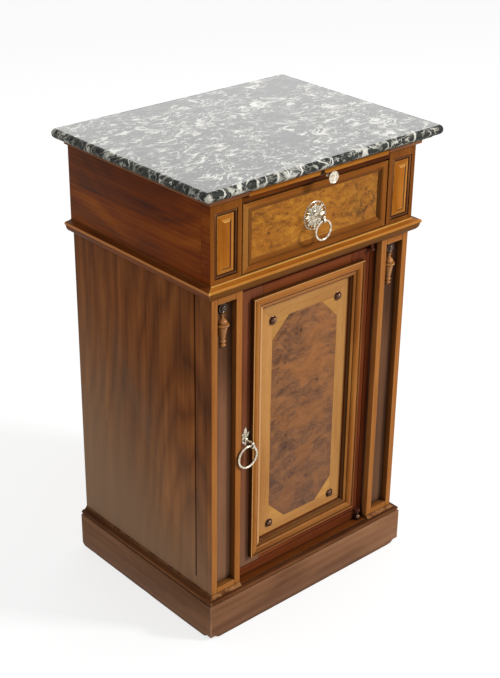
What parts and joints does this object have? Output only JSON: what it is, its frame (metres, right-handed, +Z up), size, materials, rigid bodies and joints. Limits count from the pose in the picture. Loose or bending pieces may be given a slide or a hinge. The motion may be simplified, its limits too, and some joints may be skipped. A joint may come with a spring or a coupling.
{
  "type": "bedside pot cupboard",
  "caption": "Walnut bedside cupboard with a veined marble top, pull-out slide, burl-veneered drawer and panelled door with ring pulls.",
  "frame": {"origin": "on the floor, under the centre of the marble top's outline", "axes": "+X to the right seen from the front, +Y towards the back, +Z up"},
  "size_m": [0.481, 0.373, 0.771],
  "materials": {
    "black_marble": "polished, with cream-white veins",
    "dark_walnut": "varnished, soft sheen",
    "walnut": "varnished, worn hazy low down",
    "red_walnut": "varnished",
    "orange_wood": "varnished",
    "pale_wood": "varnished",
    "burl": "figured burl veneer, varnished",
    "plain_softwood": "bare, aged",
    "silvered_brass": "silvered, bright and worn",
    "dark_iron": "dark, aged"
  },
  "bodies": {
    "case": {"marble_top": "black_marble", "cornice_moulding": "dark_walnut", "upper_side_left": "dark_walnut", "upper_side_right": "dark_walnut", "corner_block_left": "orange_wood", "corner_block_right": "orange_wood", "block_beads": "orange_wood", "block_panel_left": "pale_wood", "block_panel_right": "pale_wood", "slide_rail": "red_walnut", "slide_bearers": "plain_softwood", "drawer_guides": "plain_softwood", "waist_board": "plain_softwood", "waist_moulding": "orange_wood", "lower_side_left": "walnut", "lower_side_right": "walnut", "corner_post_left": "walnut", "corner_post_right": "walnut", "pilaster_frame_left": "orange_wood", "pilaster_frame_right": "orange_wood", "split_turning_left": "orange_wood", "split_turning_right": "orange_wood", "surround_stiles": "red_walnut", "surround_rails": "red_walnut", "door_stop": "plain_softwood", "base_board": "plain_softwood", "back_panel": "plain_softwood", "plinth_front": "walnut", "plinth_sides": "walnut", "plinth_back": "plain_softwood", "plinth_moulding": "walnut", "glue_blocks": "plain_softwood", "hinge_pins": "dark_iron"},
    "slide": {"slide_board": "plain_softwood", "slide_lipping": "orange_wood", "knob_rose": "dark_iron", "slide_knob": "silvered_brass"},
    "drawer": {"drawer_front": "plain_softwood", "drawer_frame": "orange_wood", "drawer_burl": "burl", "drawer_side_left": "plain_softwood", "drawer_side_right": "plain_softwood", "drawer_back": "plain_softwood", "drawer_bottom": "plain_softwood", "drawer_rosette": "silvered_brass", "drawer_boss": "silvered_brass"},
    "drawer_pull_ring": {"drawer_ring": "silvered_brass"},
    "door": {"door_stiles": "red_walnut", "door_rails": "red_walnut", "door_moulding": "orange_wood", "door_panel": "plain_softwood", "pale_frame": "pale_wood", "corner_fillets": "pale_wood", "door_burl": "burl", "door_studs": "dark_iron", "hinge_plates": "dark_iron", "pull_plate": "silvered_brass", "pull_boss": "silvered_brass"},
    "door_pull_ring": {"door_ring": "silvered_brass"}
  },
  "joints": [
    {"name": "slide_run", "type": "slide", "parent": "case", "child": "slide", "axis": [0, -1, 0], "range_m": [0, 0.2]},
    {"name": "drawer_run", "type": "slide", "parent": "case", "child": "drawer", "axis": [0, -1, 0], "range_m": [0, 0.24]},
    {"name": "drawer_ring_swing", "type": "hinge", "parent": "drawer", "child": "drawer_pull_ring", "pos_m": [-0.004, -0.1725, 0.6712], "axis": [-1, 0, 0], "range_deg": [-15, 100]},
    {"name": "door_hinge", "type": "hinge", "parent": "case", "child": "door", "pos_m": [0.132, -0.146, 0.335], "axis": [0, 0, 1], "range_deg": [0, 100]},
    {"name": "door_ring_swing", "type": "hinge", "parent": "door", "child": "door_pull_ring", "pos_m": [-0.1247, -0.1573, 0.3236], "axis": [-0.8426, 0, 0.5385], "range_deg": [0, 100]}
  ]
}
